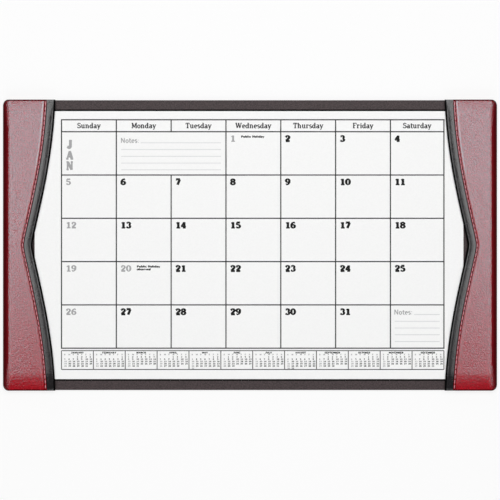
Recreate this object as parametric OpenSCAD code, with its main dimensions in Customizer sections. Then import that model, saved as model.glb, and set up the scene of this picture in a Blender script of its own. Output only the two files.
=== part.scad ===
// Desk pad with two padded leather side rails that hold a twelve-month paper calendar.
// Millimetres. X runs left to right, Y front to rear, Z up. The origin is under the middle of the pad.

/* [Pad] */
// Width of the pad over both rails
pad_w = 863.6; // [800:0.1:1000]
// Depth of the pad, front to rear
pad_d = 508; // [490:0.1:640]
// Radius of the pad's corners seen from above
corner_r = 10.5; // [6:0.5:30]

/* [Base] */
// Thickness of the felt underside
felt_t = 0.9; // [0.5:0.1:2]
// Set-back of the felt from the pad's edges
felt_margin = 6; // [3:0.5:15]
// Thickness of the core board
board_t = 3; // [2:0.1:6]
// Thickness of the black top cover
cover_t = 0.6; // [0.3:0.05:0.9]
// Thickness of covers pared thin where they are turned under
turn_t = 0.6; // [0.3:0.05:1]
// Width of the covers' turn-ins under the board
turn_in = 22; // [16:1:40]

/* [Rails] */
// Thickness of the rails' leather
leather_t = 0.9; // [0.9:0.05:1.6]
// Height of the pocket between the base and a rail
pocket_h = 2.8; // [2.2:0.1:5]
// Width of the spacer strip along the outer edge
spacer_w = 41; // [25:0.5:41]
// Width of foam between the spacer and the leather's outer face
foam_edge_w = 5; // [3:0.5:6]
// Thickness of the rail's stiffener board
stiffener_t = 1.6; // [1:0.1:3]
// Thickness of the foam on the stiffener
foam_t = 2.5; // [1.8:0.1:5]
// Width of the rolled outer edge seen from above
roll_w = 15; // [8:0.5:18]
// Height of the rolled outer edge
roll_h = 7.5; // [5:0.1:8]
// Width of the panel's hem under the stiffener at the rail's ends
hem_w = 12; // [8:0.5:20]

/* [Waist] */
// Width of the burgundy panel at the rail's waist
seam_waist = 37.3; // [34:0.1:45]
// Width of the burgundy panel at the rail's ends
seam_end = 77.3; // [60:0.1:90]
// Softness of the bend at the waist
waist_soft = 8; // [6:1:40]
// Share of the curve that flattens towards the ends
end_flatten = 0.8; // [0:0.01:1]

/* [Edge strip] */
// Width of the black edge strip, square to the seam
strip_w = 14.5; // [11:0.5:18]
// Width of the strip's rolled inner edge
strip_roll_w = 5; // [3:0.5:8]
// Overlap of the panel on the edge strip
seam_lap = 6; // [5:0.5:10]
// Glue line between the strip and the boards and foam that it is wrapped round
strip_glue = 0.1; // [0.05:0.05:0.3]

/* [Stitching] */
// Distance from one stitch to the next
stitch_pitch = 8.5; // [6:0.1:12]
// Length of a stitch
stitch_len = 6; // [3:0.1:8]
// Width of the thread
thread_w = 0.9; // [0.5:0.05:1.2]
// Height of a stitch, pressed flat
thread_h = 0.6; // [0.4:0.05:0.8]
// Distance of the stitches from the panel's edge
stitch_inset = 1.8; // [1.6:0.1:4]
// Depth of the groove that the stitches are pulled into
groove_depth = 0.45; // [0.2:0.05:0.6]
// Side clearance of the thread in its groove
groove_clear = 0.25; // [0.2:0.05:0.5]

/* [Calendar] */
// Width of a calendar sheet
sheet_w = 749.3; // [735:0.1:760]
// Depth of a calendar sheet
sheet_d = 468.3; // [440:0.1:480]
// Thickness of a calendar sheet
sheet_t = 0.1; // [0.08:0.01:0.15]
// Thickness of the backing card
card_t = 0.8; // [0.4:0.05:1]
// Part of the backing card that shows in front of and behind the sheets
card_show = 3; // [0.8:0.1:5]
// Thickness of the binding glue on the sheets' rear edge
glue_t = 0.4; // [0.2:0.05:0.7]
// Sideways shift of the calendar from the pad's middle
calendar_shift = -1.7; // [-3:0.1:3]
// Least clearance between the calendar's sides and the spacers
calendar_clear = 1; // [0.5:0.1:5]

/* [Hidden] */
months = 12;
// Heights of the layers, from the desk up
board_z = felt_t + turn_t;
cover_z = board_z + board_t;
pocket_z = cover_z + cover_t;
lip_z = pocket_z + pocket_h;
stiffener_z = lip_z + turn_t;
foam_z = stiffener_z + stiffener_t;
panel_z = foam_z + foam_t;
top_z = panel_z + leather_t;
roll_z = top_z - roll_h;
// The strip lies one leather below the panel, so that the panel laps over it
strip_top_z = panel_z;
strip_under_z = strip_top_z - leather_t;
sheets_z = pocket_z + card_t;
// Room beside the calendar, from the pad's outer edge
side_room = (pad_w - sheet_w) / 2 - abs(calendar_shift) - calendar_clear;
// The panel goes down to the desk side only as far in as the spacer reaches
closed_w = min(foam_edge_w + spacer_w, side_room);
half_d = pad_d / 2;
outer_x = -pad_w / 2;
body_d = pad_d - 2 * leather_t;
card_d = sheet_d + 2 * card_show;
// Room past the model for cutting solids
over = 5;
// Points of the waist curve on each side of the waist, closer together near it
waist_steps = 20;
waist_spread = 1.6;
// Half the stretch of the seam over which its slope is measured
slope_step = 0.5;
roll_steps = 10;
strip_roll_steps = 5;
// Smallest corner radius of a piece set in from the pad's edges
least_r = 1;

burgundy = "#82101a";
black = "#1c1b1c";
thread_red = "#a83440";
paper_white = "#f8f8f6";
foam_grey = "#8d8d88";
board_brown = "#6f5337";
felt_black = "#242426";
lining_black = "#2e2b2d";

sides = [["left", 0], ["right", 1]];
function sheet_name(n) = str("month_sheet_", n < 10 ? "0" : "", n);
rail_pieces = ["spacer", "lining", "stiffener", "padding", "panel", "edge_strip", "stitching"];
rail_nodes = [for (s = sides, p = rail_pieces) str(s[0], "_rail_", p)];
sheet_nodes = [for (n = [1:months]) sheet_name(n)];

// Waist curve: how far the seam lies from the pad's outer edge, at a distance t from the waist

function waist_rise(t) = sqrt(t * t + waist_soft * waist_soft) - waist_soft;

function waist_share(t) =
    let (h = waist_rise(t) / waist_rise(half_d))
    (1 - end_flatten) * h + end_flatten * sin(90 * h);

function seam_x(t) = seam_waist + (seam_end - seam_waist) * waist_share(t);

function seam_slope(t) = (seam_x(t + slope_step) - seam_x(t - slope_step)) / (2 * slope_step);

// Width of the strip along X, which keeps its width square to the seam
function strip_x(t) = strip_w * sqrt(1 + pow(seam_slope(t), 2));

// X of a line along the left rail: share 0 is the seam, share 1 is the rail's inner edge
function rail_line(y, share, off) =
    outer_x + seam_x(abs(y)) + share * strip_x(abs(y)) + off;

body_ys = [
    for (k = [-waist_steps:waist_steps])
        sign(k) * body_d / 2 * pow(abs(k) / waist_steps, waist_spread)
];
waist_ys = [for (y = body_ys) abs(y) < body_d / 2 ? y : sign(y) * half_d];

function line_points(share, off) = [for (y = waist_ys) [rail_line(y, share, off), y]];

function reversed(list) = [for (i = [len(list) - 1:-1:0]) list[i]];

// Left rail's ground from a distance inside the pad's outer edge to a line along the rail
module rail_ground(from, share, off, z0, z1) {
    outer = [[outer_x + from, half_d], [outer_x + from, -half_d]];
    translate([0, 0, z0])
        linear_extrude(z1 - z0)
            polygon(concat(outer, line_points(share, off)));
}

// Band between two lines along the left rail
module rail_band(share_a, off_a, share_b, off_b, z0, z1) {
    translate([0, 0, z0])
        linear_extrude(z1 - z0)
            polygon(concat(line_points(share_b, off_b), reversed(line_points(share_a, off_a))));
}

// Box given by its corners
module box(low, high) {
    translate(low)
        cube(high - low);
}

// Pad's outline seen from above, set in from its edges
module outline(inset) {
    r = max(corner_r - inset, least_r);
    w = pad_w - 2 * inset;
    d = pad_d - 2 * inset;
    square([w - 2 * r, d], center = true);
    square([w, d - 2 * r], center = true);
    for (sx = [-1, 1], sy = [-1, 1])
        translate([sx * (w / 2 - r), sy * (d / 2 - r)])
            circle(r, $fn = 48);
}

module slab(inset, z0, z1) {
    translate([0, 0, z0])
        linear_extrude(z1 - z0)
            outline(inset);
}

// Distance of the leather's inner face from the pad's outer edge, at a height in the roll
function roll_inset(z) =
    let (rise = max(0, z - roll_z) / (roll_h - leather_t))
    roll_w - (roll_w - leather_t) * sqrt(1 - rise * rise);

// Front view of a rail's outer side, rolled over at the top and set in by an inset
function roll_profile(inset, z0) =
    concat(
        [[0, z0], [outer_x + inset, z0]],
        [
            for (k = [0:roll_steps])
                let (a = 90 * k / roll_steps)
                [
                    outer_x + roll_w - (roll_w - inset) * cos(a),
                    roll_z + (roll_h - inset) * sin(a)
                ]
        ],
        [[0, top_z - inset]]
    );

// Left half of the pad as one cushion form with a rolled outer edge
module cushion_form(inset, z0) {
    intersection() {
        rotate([90, 0, 0])
            linear_extrude(pad_d, center = true)
                polygon(roll_profile(inset, z0));
        slab(inset, z0 - over, top_z + over);
    }
}

// Skin through rings of points along Y
module loft(rings) {
    n = len(rings[0]);
    m = len(rings);
    points = [for (ring = rings) each ring];
    walls = [
        for (j = [0:m - 2], i = [0:n - 1])
            let (a = j * n + i, b = j * n + (i + 1) % n)
            each [[a, b + n, b], [a, a + n, b + n]]
    ];
    first = [for (i = [0:n - 1]) i];
    last = [for (i = [n - 1:-1:0]) (m - 1) * n + i];
    polyhedron(points, concat(walls, [first, last]));
}

// Quarter round of the strip's inner edge, from its top to its side, set in by an inset
function strip_round(y, inset) = [
    for (k = [0:strip_roll_steps])
        let (a = 90 - 90 * k / strip_roll_steps)
        [
            rail_line(y, 1, -strip_roll_w + (strip_roll_w - inset) * cos(a)),
            y,
            foam_z + (strip_top_z - inset - foam_z) * sin(a)
        ]
];

// Section of the strip: lap, top, rolled edge and the flap turned under the stiffener
function strip_section(y) = concat(
    [[rail_line(y, 0, -seam_lap), y, strip_top_z]],
    strip_round(y, 0),
    [
        [rail_line(y, 1, 0), y, lip_z],
        [rail_line(y, 0, 0), y, lip_z],
        [rail_line(y, 0, 0), y, stiffener_z],
        [rail_line(y, 1, -leather_t), y, stiffener_z]
    ],
    reversed(strip_round(y, leather_t)),
    [[rail_line(y, 0, -seam_lap), y, strip_under_z]]
);

module on_side(side) {
    mirror([side, 0, 0])
        children();
}

module core_board() {
    color(board_brown)
        slab(leather_t, board_z, cover_z);
}

module top_cover() {
    wrap_w = pad_w - 2 * closed_w;
    wrap_d = body_d + 2 * cover_t;
    color(black) {
        slab(leather_t, cover_z, pocket_z);
        for (s = [0, 1])
            mirror([0, s, 0]) {
                box([-wrap_w / 2, half_d - turn_in, cover_z], [wrap_w / 2, wrap_d / 2, pocket_z]);
                box([-wrap_w / 2, body_d / 2, felt_t], [wrap_w / 2, wrap_d / 2, pocket_z]);
                box([-wrap_w / 2, half_d - turn_in, felt_t], [wrap_w / 2, wrap_d / 2, board_z]);
            }
    }
}

module felt_backing() {
    inner_w = pad_w - 2 * turn_in;
    inner_d = pad_d - 2 * turn_in;
    color(felt_black) {
        slab(felt_margin, 0, felt_t);
        box([-inner_w / 2, -inner_d / 2, 0], [inner_w / 2, inner_d / 2, board_z]);
    }
}

module rail_spacer() {
    color(board_brown)
        intersection() {
            slab(leather_t, pocket_z, lip_z);
            box(
                [outer_x + foam_edge_w, -half_d, pocket_z],
                [outer_x + closed_w, half_d, lip_z]
            );
        }
}

module rail_lining() {
    lining_d = pad_d - 2 * hem_w;
    color(lining_black)
        intersection() {
            rail_ground(foam_edge_w, 0, 0, lip_z, stiffener_z);
            box([outer_x, -lining_d / 2, lip_z], [0, lining_d / 2, stiffener_z]);
        }
}

module rail_stiffener() {
    outer = max(foam_edge_w, roll_inset(foam_z));
    wrapped = -leather_t - strip_glue;
    color(board_brown)
        intersection() {
            rail_ground(outer, 1, wrapped, stiffener_z, foam_z);
            slab(leather_t, stiffener_z, foam_z);
        }
}

module rail_padding() {
    round_w = strip_roll_w - leather_t;
    round_h = strip_under_z - foam_z;
    wrapped = -strip_roll_w - strip_glue;
    color(foam_grey)
        intersection() {
            cushion_form(leather_t, pocket_z);
            union() {
                // Roll beside the spacer and the stiffener
                box([outer_x, -half_d, pocket_z], [outer_x + foam_edge_w, half_d, panel_z]);
                // Full thickness under the panel, and pressed thinner under its lap
                rail_ground(0, 0, -seam_lap, foam_z, panel_z);
                rail_ground(0, 1, wrapped, foam_z, strip_under_z);
                // Steps down inside the strip's rolled edge
                for (k = [1:strip_roll_steps - 1]) {
                    a = 90 * k / strip_roll_steps;
                    reach = round_w * cos(a);
                    rail_ground(0, 1, wrapped + reach, foam_z, foam_z + round_h * sin(a));
                }
            }
        }
}

module rail_panel() {
    groove_w = thread_w + 2 * groove_clear;
    inner_w = pad_w - 2 * turn_in;
    inner_d = pad_d - 2 * turn_in;
    color(burgundy) {
        // Top, rolled side and ends, open below
        difference() {
            intersection() {
                cushion_form(0, felt_t);
                rail_ground(-over, 0, 0, felt_t, top_z + over);
            }
            cushion_form(leather_t, felt_t - over);
            box([outer_x + closed_w, -half_d - over, felt_t - over], [0, half_d + over, lip_z]);
            rail_band(
                0, -stitch_inset - groove_w / 2,
                0, -stitch_inset + groove_w / 2,
                top_z - groove_depth, top_z + over
            );
        }
        // Hems under the stiffener at both ends
        intersection() {
            difference() {
                slab(0, lip_z, stiffener_z);
                box(
                    [outer_x - over, -half_d + hem_w, lip_z - over],
                    [0, half_d - hem_w, stiffener_z + over]
                );
            }
            rail_ground(foam_edge_w, 0, 0, lip_z, stiffener_z);
        }
        // Turn-in under the board
        difference() {
            slab(0, felt_t, board_z);
            box([-inner_w / 2, -inner_d / 2, 0], [inner_w / 2, inner_d / 2, board_z + over]);
            box(
                [outer_x + closed_w, -half_d - over, 0],
                [pad_w, half_d + over, board_z + over]
            );
        }
    }
}

module rail_edge_strip() {
    color(black)
        loft([for (y = body_ys) strip_section(y)]);
}

module stitch() {
    linear_extrude(thread_h) {
        square([thread_w, stitch_len - thread_w], center = true);
        for (s = [-1, 1])
            translate([0, s * (stitch_len - thread_w) / 2])
                circle(thread_w / 2, $fn = 24);
    }
}

module rail_stitching() {
    row = floor((pad_d - 2 * leather_t - stitch_len) / stitch_pitch / 2);
    color(thread_red)
        for (k = [-row:row]) {
            y = k * stitch_pitch;
            slope = sign(y) * seam_slope(abs(y));
            translate([rail_line(y, 0, -stitch_inset), y, top_z - groove_depth])
                rotate([0, 0, -atan(slope)])
                    stitch();
        }
}

module backing_card() {
    color(black)
        box(
            [calendar_shift - sheet_w / 2, -card_d / 2, pocket_z],
            [calendar_shift + sheet_w / 2, card_d / 2, sheets_z]
        );
}

module binding_glue() {
    color(black)
        box(
            [calendar_shift - sheet_w / 2, sheet_d / 2, sheets_z],
            [calendar_shift + sheet_w / 2, sheet_d / 2 + glue_t, sheets_z + months * sheet_t]
        );
}

// Month 1 lies on top of the pad of sheets
module month_sheet(n) {
    z = sheets_z + (months - n) * sheet_t;
    color(paper_white)
        box(
            [calendar_shift - sheet_w / 2, -sheet_d / 2, z],
            [calendar_shift + sheet_w / 2, sheet_d / 2, z + sheet_t]
        );
}

core_board();
top_cover();
felt_backing();
for (s = sides) {
    on_side(s[1]) rail_spacer();
    on_side(s[1]) rail_lining();
    on_side(s[1]) rail_stiffener();
    on_side(s[1]) rail_padding();
    on_side(s[1]) rail_panel();
    on_side(s[1]) rail_edge_strip();
    on_side(s[1]) rail_stitching();
}
backing_card();
binding_glue();
for (n = [1:months]) {
    month_sheet(n);
}
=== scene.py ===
import math

import bmesh
import bpy
from mathutils import Matrix, Vector


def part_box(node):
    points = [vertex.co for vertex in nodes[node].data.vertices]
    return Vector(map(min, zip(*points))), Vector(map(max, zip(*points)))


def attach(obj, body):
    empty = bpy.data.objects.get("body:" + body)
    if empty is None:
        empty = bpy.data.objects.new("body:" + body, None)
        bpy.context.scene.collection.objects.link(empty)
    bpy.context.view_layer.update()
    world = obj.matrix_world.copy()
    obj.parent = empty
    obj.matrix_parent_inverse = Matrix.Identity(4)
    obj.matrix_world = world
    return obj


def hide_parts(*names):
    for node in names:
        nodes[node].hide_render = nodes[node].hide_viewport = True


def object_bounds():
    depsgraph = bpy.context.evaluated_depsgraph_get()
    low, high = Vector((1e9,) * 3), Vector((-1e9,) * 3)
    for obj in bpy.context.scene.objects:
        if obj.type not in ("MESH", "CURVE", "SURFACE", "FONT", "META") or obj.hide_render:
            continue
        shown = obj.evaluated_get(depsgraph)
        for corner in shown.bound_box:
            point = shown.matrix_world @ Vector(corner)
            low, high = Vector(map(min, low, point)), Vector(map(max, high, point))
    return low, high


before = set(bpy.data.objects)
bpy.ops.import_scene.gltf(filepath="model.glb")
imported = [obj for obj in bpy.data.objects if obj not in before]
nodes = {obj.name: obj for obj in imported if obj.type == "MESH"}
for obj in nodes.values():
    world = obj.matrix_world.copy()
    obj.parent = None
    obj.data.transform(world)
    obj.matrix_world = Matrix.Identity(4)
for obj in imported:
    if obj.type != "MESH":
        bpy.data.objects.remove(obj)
cad_low, cad_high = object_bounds()
scene = bpy.context.scene
scene.view_settings.view_transform = "Standard"

# Camera: straight overhead, a little in front of the pad's middle, as wide as the pad with
# a narrow margin on both sides.
sensor_w = 36.0
camera_height = 2.2
camera_y = -0.0085
view_w = 0.8712
camera_data = bpy.data.cameras.new("overhead_camera")
camera_data.sensor_width = sensor_w
camera_data.lens = sensor_w * camera_height / view_w
camera = bpy.data.objects.new("overhead_camera", camera_data)
camera.location = (0, camera_y, cad_high.z + camera_height)
scene.collection.objects.link(camera)
scene.camera = camera

# Light: soft boxes hang over the left and right rails, brighter towards the rear, outside
# their front ends and behind the middle of the pad, all facing down. Low ones stand behind
# and in front of the desk, and the room itself is dim.
box_height = 2.6
watts_per_radiance = 4
sides = ((-1, "left"), (1, "right"))


def soft_box(name, place, width, depth, radiance, lean=0.0):
    lamp = bpy.data.lights.new(name, "AREA")
    lamp.shape = "RECTANGLE"
    lamp.size = width
    lamp.size_y = depth
    lamp.energy = watts_per_radiance * width * depth * radiance
    box = bpy.data.objects.new(name, lamp)
    box.location = place
    box.rotation_euler.x = lean
    scene.collection.objects.link(box)


for side, name in sides:
    soft_box(name + "_soft_box", (side * 1.0, 0.555, box_height), 1.1, 1.89, 3.15)
    soft_box(name + "_rear_soft_box", (side * 0.82, 1.0, box_height - 0.01), 0.75, 1.36, 0.7)
    soft_box(name + "_front_soft_box", (side * 1.65, -0.2, box_height - 0.02), 0.6, 0.7, 3.4)
soft_box("middle_soft_box", (0, 1.45, box_height), 1.2, 1.0, 2.6)
soft_box("rear_soft_box", (0, 2.6, 1.2), 3.0, 0.8, 1.0, math.radians(-65))
soft_box("front_soft_box", (0, -2.4, 1.1), 3.0, 1.4, 1.9, math.radians(65))

room = bpy.data.worlds.new("dim_room")
room.use_nodes = True
room.node_tree.nodes["Background"].inputs["Color"].default_value = (0.95, 0.97, 1, 1)
room.node_tree.nodes["Background"].inputs["Strength"].default_value = 0.05
scene.world = room

# Floor: a plain white table top under the pad. It keeps a quarter of the pad's shadow and
# shows white to the camera and in reflections.
floor_size = 40.0
floor_gap = 0.0002
shadow_share = 0.25


def new_material(name):
    material = bpy.data.materials.new(name)
    material.use_nodes = True
    tree = material.node_tree
    return material, tree, tree.nodes["Principled BSDF"]


def math_node(tree, operation, *values):
    """Output of a math node on plain numbers and on other nodes' outputs."""
    node = tree.nodes.new("ShaderNodeMath")
    node.operation = operation
    for socket, value in zip(node.inputs, values):
        if isinstance(value, float):
            socket.default_value = value
        else:
            tree.links.new(value, socket)
    return node.outputs[0]


floor_bm = bmesh.new()
bmesh.ops.create_grid(floor_bm, x_segments=1, y_segments=1, size=floor_size / 2)
bmesh.ops.translate(floor_bm, vec=(0, 0, cad_low.z - floor_gap), verts=floor_bm.verts)
floor_mesh = bpy.data.meshes.new("white_floor")
floor_bm.to_mesh(floor_mesh)
floor_bm.free()
floor = bpy.data.objects.new("white_floor", floor_mesh)
scene.collection.objects.link(floor)
floor_white, tree, shader = new_material("floor_white")
shader.inputs["Base Color"].default_value = (0.9, 0.9, 0.9, 1)
shader.inputs["Roughness"].default_value = 0.9
shader.inputs["Specular IOR Level"].default_value = 0.0
glow = tree.nodes.new("ShaderNodeEmission")
glow.inputs["Strength"].default_value = 1.0
ray = tree.nodes.new("ShaderNodeLightPath").outputs
seen = math_node(tree, "MAXIMUM", ray["Is Camera Ray"], ray["Is Glossy Ray"])
seen = math_node(tree, "MAXIMUM", seen, ray["Is Transmission Ray"])
white_share = math_node(tree, "MULTIPLY", seen, 1 - shadow_share)
white_mix = tree.nodes.new("ShaderNodeMixShader")
tree.links.new(white_share, white_mix.inputs[0])
tree.links.new(shader.outputs[0], white_mix.inputs[1])
tree.links.new(glow.outputs[0], white_mix.inputs[2])
tree.links.new(white_mix.outputs[0], tree.nodes["Material Output"].inputs["Surface"])
floor_mesh.materials.append(floor_white)

# Boards: the core of the base, the spacer strips along its outer edges and the stiffeners
# inside the rails are pressed fibre board. They are glued up and covered all round.
def object_place(tree):
    return tree.nodes.new("ShaderNodeTexCoord").outputs["Object"]


def object_noise(tree, scale, detail, output="Fac"):
    cloud = tree.nodes.new("ShaderNodeTexNoise")
    cloud.inputs["Scale"].default_value = scale
    cloud.inputs["Detail"].default_value = detail
    tree.links.new(object_place(tree), cloud.inputs["Vector"])
    return cloud.outputs[output]


def tint_between(tree, factor, dark, light):
    ramp = tree.nodes.new("ShaderNodeValToRGB")
    ramp.color_ramp.elements[0].position = 0.3
    ramp.color_ramp.elements[0].color = (*dark, 1)
    ramp.color_ramp.elements[1].position = 0.7
    ramp.color_ramp.elements[1].color = (*light, 1)
    tree.links.new(factor, ramp.inputs["Fac"])
    return ramp.outputs["Color"]


def rough_between(tree, factor, low, high):
    span = tree.nodes.new("ShaderNodeMapRange")
    span.inputs["To Min"].default_value = low
    span.inputs["To Max"].default_value = high
    tree.links.new(factor, span.inputs["Value"])
    return span.outputs["Result"]


def bump_from(tree, height, strength, depth):
    bump = tree.nodes.new("ShaderNodeBump")
    bump.inputs["Strength"].default_value = strength
    bump.inputs["Distance"].default_value = depth
    tree.links.new(height, bump.inputs["Height"])
    return bump.outputs["Normal"]


def look(tree, shader, tint, rough, normal=None, specular=0.5):
    """Joins tint, roughness and relief to a shader. A plain roughness is set on its socket."""
    tree.links.new(tint, shader.inputs["Base Color"])
    if isinstance(rough, float):
        shader.inputs["Roughness"].default_value = rough
    else:
        tree.links.new(rough, shader.inputs["Roughness"])
    if normal:
        tree.links.new(normal, shader.inputs["Normal"])
    shader.inputs["Specular IOR Level"].default_value = specular


def fibre_board():
    material, tree, shader = new_material("fibre_board")
    fibres = object_noise(tree, 420, 6.0)
    tint = tint_between(tree, fibres, (0.10, 0.055, 0.027), (0.20, 0.115, 0.06))
    look(tree, shader, tint, rough_between(tree, fibres, 0.7, 0.95), bump_from(tree, fibres, 0.4, 0.0003))
    return material


def dress(node, material):
    for slot in nodes[node].material_slots:
        slot.material = material


board_brown = fibre_board()
dress("core_board", board_brown)
for side, name in sides:
    dress(name + "_rail_spacer", board_brown)
    dress(name + "_rail_stiffener", board_brown)

# Top cover: black leatherette, a grained film on cloth, glued to the board. It is wrapped
# round the front and rear edges and turned under, and runs on flat below both rails.
cover_low, cover_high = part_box("top_cover")
spacer_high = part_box("left_rail_spacer")[1]
cover_t = 0.0006
cover_turn_in = 0.022
cover_round_top = 0.0021
cover_round_foot = 0.0012
cover_columns = 60
cover_rows_flat = 40
cover_round_steps = 6
tongue_d = 0.238
wrap_w = -spacer_high.x
grain_blur = 0.25
warp_share = 0.35
near = 1e-6


def grain(tree, cell, depth, strength):
    """Pebbled grain of pressed or natural leather: soft cells with thin valleys between them."""
    warp = object_noise(tree, warp_share / cell, 2.0, "Color")
    shift = tree.nodes.new("ShaderNodeVectorMath")
    shift.operation = "MULTIPLY_ADD"
    shift.inputs[1].default_value = (cell, cell, cell)
    tree.links.new(warp, shift.inputs[0])
    tree.links.new(object_place(tree), shift.inputs[2])
    cells = tree.nodes.new("ShaderNodeTexVoronoi")
    cells.feature = "SMOOTH_F1"
    cells.inputs["Scale"].default_value = 1 / cell
    cells.inputs["Smoothness"].default_value = grain_blur
    tree.links.new(shift.outputs["Vector"], cells.inputs["Vector"])
    valleys = cells.outputs["Distance"]
    pebbles = math_node(tree, "SUBTRACT", 1.0, valleys)
    return bump_from(tree, pebbles, strength, depth), valleys


def leatherette():
    material, tree, shader = new_material("black_leatherette")
    normal, valleys = grain(tree, 0.0018, 0.0005, 0.8)
    pebbles = object_noise(tree, 420, 1.0)
    tint = tint_between(tree, pebbles, (0.016, 0.008, 0.009), (0.054, 0.032, 0.034))
    look(tree, shader, tint, rough_between(tree, valleys, 0.5, 0.66), normal)
    return material


def arc(center, radius, start, end, steps):
    """Points of an arc, with its angles in degrees."""
    angles = [math.radians(start + (end - start) * k / steps) for k in range(steps + 1)]
    return [Vector((center[0] + radius * math.cos(a), center[1] + radius * math.sin(a))) for a in angles]


def wrap_profile():
    """Cover seen from the side, from the turn-in under the front edge to the one under the rear."""
    y_end, foot, top = cover_high.y, cover_low.z, cover_high.z
    low_middle = (y_end - cover_round_foot, foot + cover_round_foot)
    high_middle = (y_end - cover_round_top, top - cover_round_top)
    rear = [Vector((y_end - cover_turn_in, foot))]
    rear += arc(low_middle, cover_round_foot, -90, 0, cover_round_steps)
    rear += arc(high_middle, cover_round_top, 0, 90, cover_round_steps)
    front = [Vector((-p.x, p.y)) for p in rear]
    flat_end = rear[-1].x
    flat = [Vector((flat_end * (2 * k / cover_rows_flat - 1), top)) for k in range(1, cover_rows_flat)]
    return front + flat + rear[::-1]


def shell(name, bm, materials, thickness=0.0):
    """Makes the shaped mesh a piece, with a wall of its real thickness behind its outer face."""
    mesh = bpy.data.meshes.new(name)
    for face in bm.faces:
        face.smooth = True
    bm.to_mesh(mesh)
    bm.free()
    for material in materials:
        mesh.materials.append(material)
    piece = bpy.data.objects.new(name, mesh)
    scene.collection.objects.link(piece)
    if thickness:
        wall = piece.modifiers.new("thickness", "SOLIDIFY")
        wall.thickness = thickness
        wall.offset = -1
    return piece


def fresh_grid(columns, rows):
    """Flat grid between -1 and 1, which is shaped by moving its vertices."""
    bm = bmesh.new()
    bmesh.ops.create_grid(bm, x_segments=columns, y_segments=rows, size=1)
    return bm


def grid_index(vert, columns, rows):
    """Column and row of a vertex of a fresh grid."""
    return round((vert.co.x + 1) / 2 * columns), round((vert.co.y + 1) / 2 * rows)


def grow(bm, edges):
    """Draws faces out of edges, and gives the new edges, faces and vertices."""
    grown = bmesh.ops.extrude_edge_only(bm, edges=edges)["geom"]
    kinds = (bmesh.types.BMEdge, bmesh.types.BMFace, bmesh.types.BMVert)
    return [[g for g in grown if isinstance(g, kind)] for kind in kinds]


def mesh_area(bm):
    return sum(face.calc_area() for face in bm.faces)


profile = wrap_profile()
rows = len(profile) - 1
bm = fresh_grid(cover_columns, rows)
for vert in bm.verts:
    column, row = grid_index(vert, cover_columns, rows)
    vert.co = (wrap_w * (2 * column / cover_columns - 1), profile[row].x, profile[row].y)
ends = [e for e in bm.edges if e.is_boundary and all(abs(v.co.x) > wrap_w - near for v in e.verts)]
ends = [e for e in ends if all(v.co.z > cover_high.z - near for v in e.verts)]
for vert in grow(bm, ends)[2]:
    vert.co.x = math.copysign(cover_high.x, vert.co.x)
    vert.co.y = max(-tongue_d, min(tongue_d, vert.co.y))
bmesh.ops.recalc_face_normals(bm, faces=bm.faces)
cover_area = mesh_area(bm)
top_cover = shell("black_top_cover", bm, [leatherette()], cover_t)
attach(top_cover, "base")
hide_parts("top_cover")

# Felt: a sheet of black wool felt glued under the base, a little short of its edges, so
# that the pad doesn't slip or scratch the desk.
felt_low, felt_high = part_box("felt_backing")
felt_t = 0.0009
felt_corner = 0.024
felt_columns = 70
felt_rows = 42


def round_corner(along, across, radius):
    """Moves a point of a square corner, given by its distances from both edges, into a round one."""
    p = max(0.0, 1 - along / radius)
    q = max(0.0, 1 - across / radius)
    p, q = p * math.sqrt(1 - q * q / 2), q * math.sqrt(1 - p * p / 2)
    if along < radius and across < radius:
        return radius * (1 - p), radius * (1 - q)
    return along, across


def wool_felt():
    material, tree, shader = new_material("black_felt")
    wool = object_noise(tree, 900, 8.0)
    tufts = object_noise(tree, 60, 4.0)
    tint = tint_between(tree, tufts, (0.012, 0.012, 0.013), (0.032, 0.032, 0.034))
    look(tree, shader, tint, 0.95, bump_from(tree, wool, 0.7, 0.0004))
    shader.inputs["Sheen Weight"].default_value = 0.3
    shader.inputs["Sheen Roughness"].default_value = 0.5
    return material


bm = fresh_grid(felt_columns, felt_rows)
for vert in bm.verts:
    x, y = vert.co.x, vert.co.y
    along, across = round_corner(felt_high.x * (1 - abs(x)), felt_high.y * (1 - abs(y)), felt_corner)
    vert.co = (
        math.copysign(felt_high.x - along, x),
        math.copysign(felt_high.y - across, y),
        felt_low.z + felt_t,
    )
felt = shell("felt_underside", bm, [wool_felt()], felt_t)
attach(felt, "base")
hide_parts("felt_backing")

# Rail linings: thin black cloth glued to the underside of each rail, where the calendar
# slides. It follows the rail's waist.
seam_waist = 0.0373
seam_end = 0.0773
waist_soft = 0.008
end_flatten = 0.8
half_d = cad_high.y
half_w = cad_high.x
lining_low, lining_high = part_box("left_rail_lining")
lining_t = lining_high.z - lining_low.z
lining_columns = 12
lining_rows = 120


def seam_at(y):
    """Distance of the seam from the pad's outer edge."""
    def rise(t):
        return math.hypot(t, waist_soft) - waist_soft
    share = rise(y) / rise(half_d)
    share = (1 - end_flatten) * share + end_flatten * math.sin(math.pi / 2 * share)
    return seam_waist + (seam_end - seam_waist) * share


def lining_cloth():
    material, tree, shader = new_material("lining_cloth")
    weave = tree.nodes.new("ShaderNodeTexWave")
    weave.inputs["Scale"].default_value = 300
    tree.links.new(object_place(tree), weave.inputs["Vector"])
    tint = tint_between(tree, weave.outputs["Fac"], (0.018, 0.017, 0.018), (0.035, 0.033, 0.035))
    look(tree, shader, tint, 0.85, bump_from(tree, weave.outputs["Fac"], 0.4, 0.0002))
    return material


def face_out(bm, side):
    """The right rail is the left one seen in a mirror, so its faces are turned back."""
    if side > 0:
        bmesh.ops.reverse_faces(bm, faces=bm.faces)


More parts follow.
